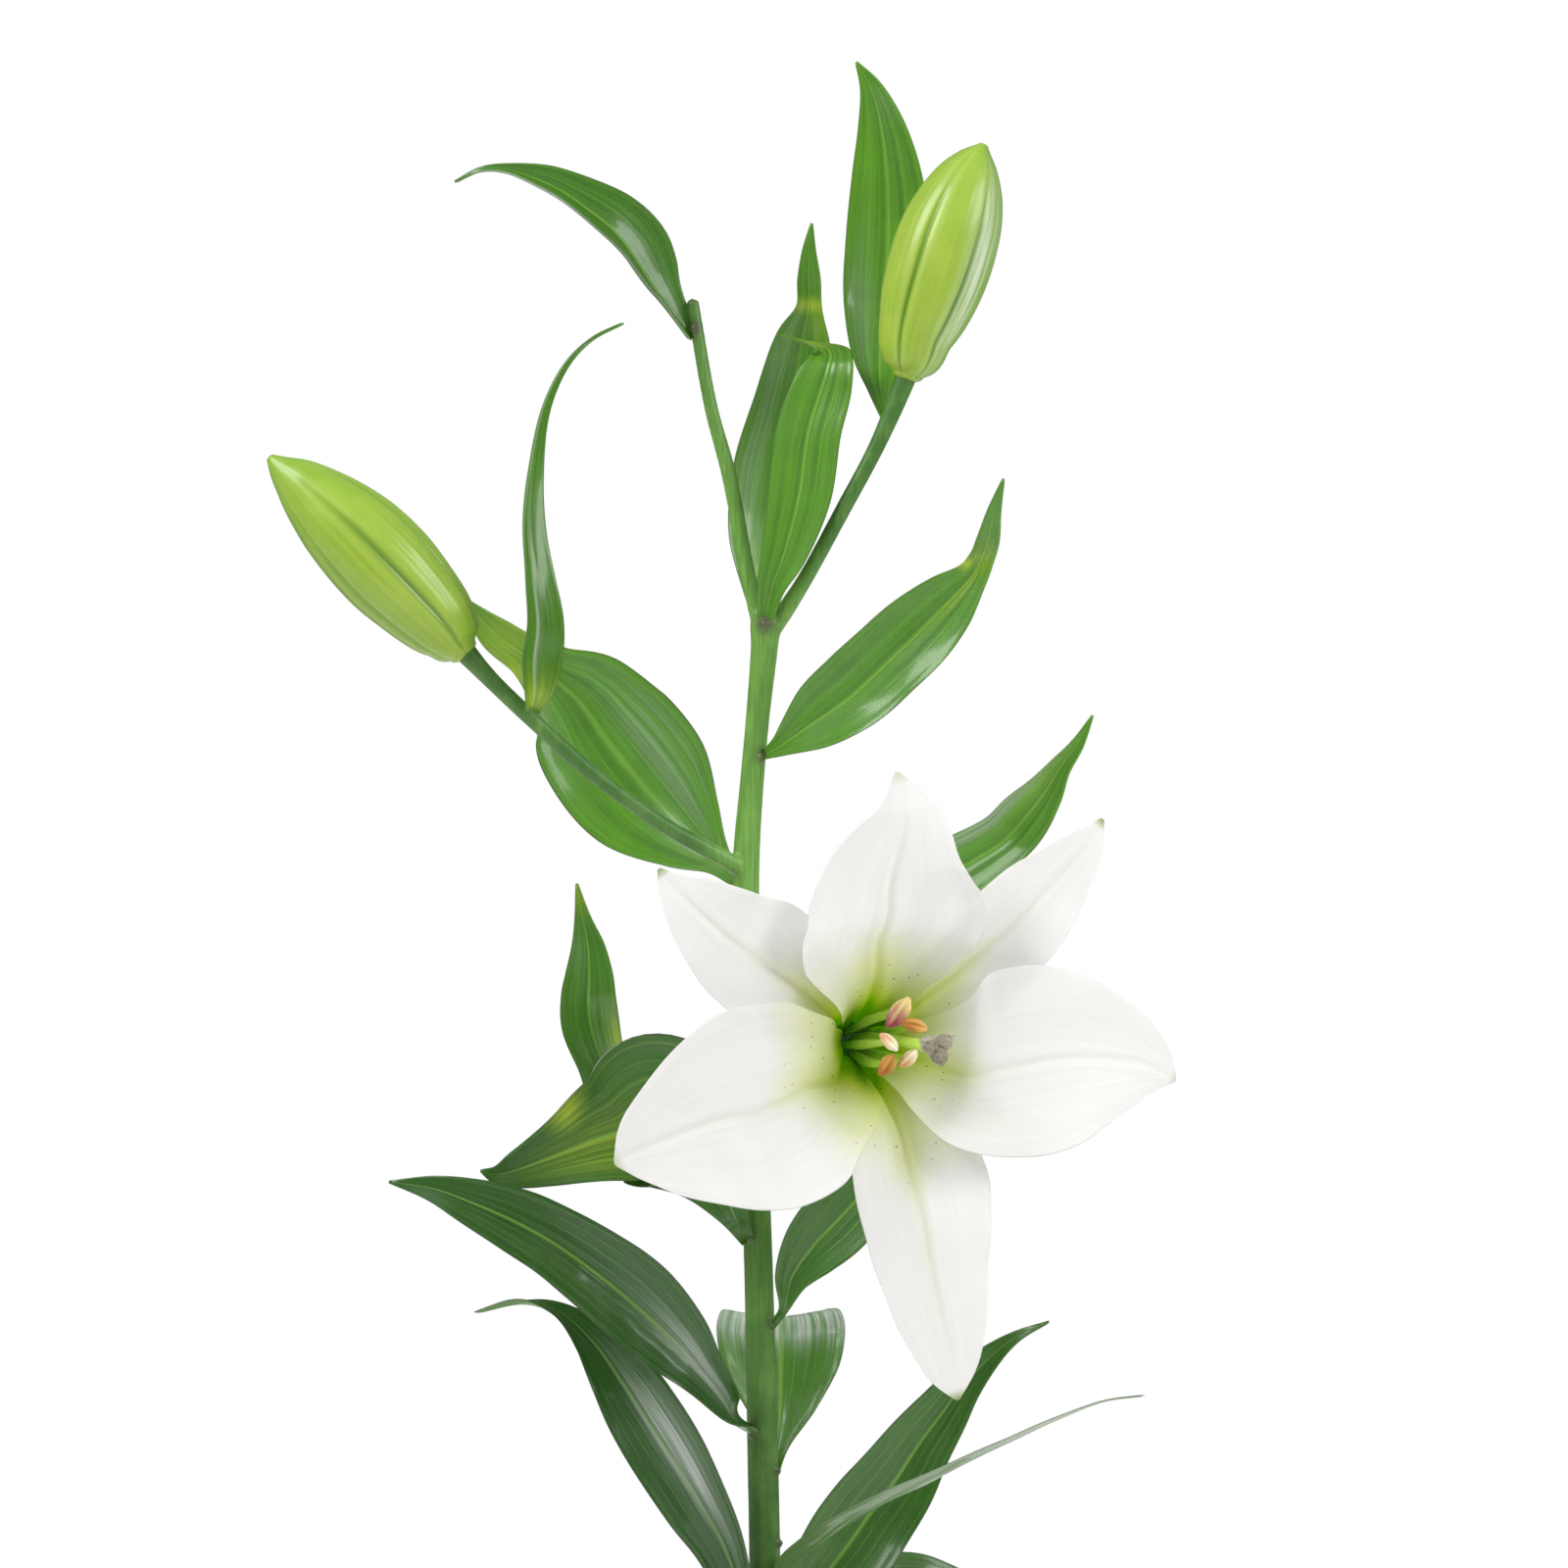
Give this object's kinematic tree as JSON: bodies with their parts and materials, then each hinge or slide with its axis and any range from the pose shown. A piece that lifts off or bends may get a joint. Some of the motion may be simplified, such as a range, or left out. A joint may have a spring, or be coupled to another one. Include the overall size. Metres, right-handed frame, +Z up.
{
  "type": "potted oriental lily",
  "caption": "Upright leafy lily stem with closed green buds and an open white flower facing the front, growing from its bulb in a plain soil-filled clay pot.",
  "frame": {"origin": "middle of the pot's flat underside, on the surface that it stands on", "axes": "+Z up along the stem; -Y towards the viewer of the picture, which the flower faces; +X to that viewer's right"},
  "size_m": [0.2607, 0.2174, 0.6522],
  "materials": {
    "pot_clay": "matte",
    "soil_compost": "matte",
    "bulb_scales": "satin",
    "stem_skin": "satin",
    "leaf_blade": "satin",
    "bud_skin": "satin",
    "tepal_white": "satin",
    "style_green": "satin",
    "stigma": "matte",
    "anther_pollen": "matte"
  },
  "bodies": {
    "root": {"pot": "pot_clay", "soil": "soil_compost", "bulb": "bulb_scales", "stem": "stem_skin", "leaf_01": "leaf_blade", "leaf_02": "leaf_blade", "leaf_03": "leaf_blade", "leaf_04": "leaf_blade", "leaf_05": "leaf_blade", "leaf_06": "leaf_blade", "leaf_07": "leaf_blade", "leaf_08": "leaf_blade", "leaf_09": "leaf_blade", "leaf_10": "leaf_blade", "leaf_11": "leaf_blade", "leaf_12": "leaf_blade", "leaf_13": "leaf_blade", "leaf_14": "leaf_blade", "leaf_15": "leaf_blade", "leaf_16": "leaf_blade", "leaf_17": "leaf_blade", "leaf_18": "leaf_blade", "leaf_19": "leaf_blade", "leaf_20": "leaf_blade", "leaf_21": "leaf_blade", "bud_right": "bud_skin", "bud_left": "bud_skin", "tepal_inner_top": "tepal_white", "tepal_inner_left": "tepal_white", "tepal_inner_right": "tepal_white", "tepal_outer_left": "tepal_white", "tepal_outer_right": "tepal_white", "tepal_outer_low": "tepal_white", "pistil": "style_green", "stigma": "stigma", "filament_1": "style_green", "filament_2": "style_green", "filament_3": "style_green", "filament_4": "style_green", "filament_5": "style_green", "filament_6": "style_green", "anther_1": "anther_pollen", "anther_2": "anther_pollen", "anther_3": "anther_pollen", "anther_4": "anther_pollen", "anther_5": "anther_pollen", "anther_6": "anther_pollen"}
  },
  "joints": []
}
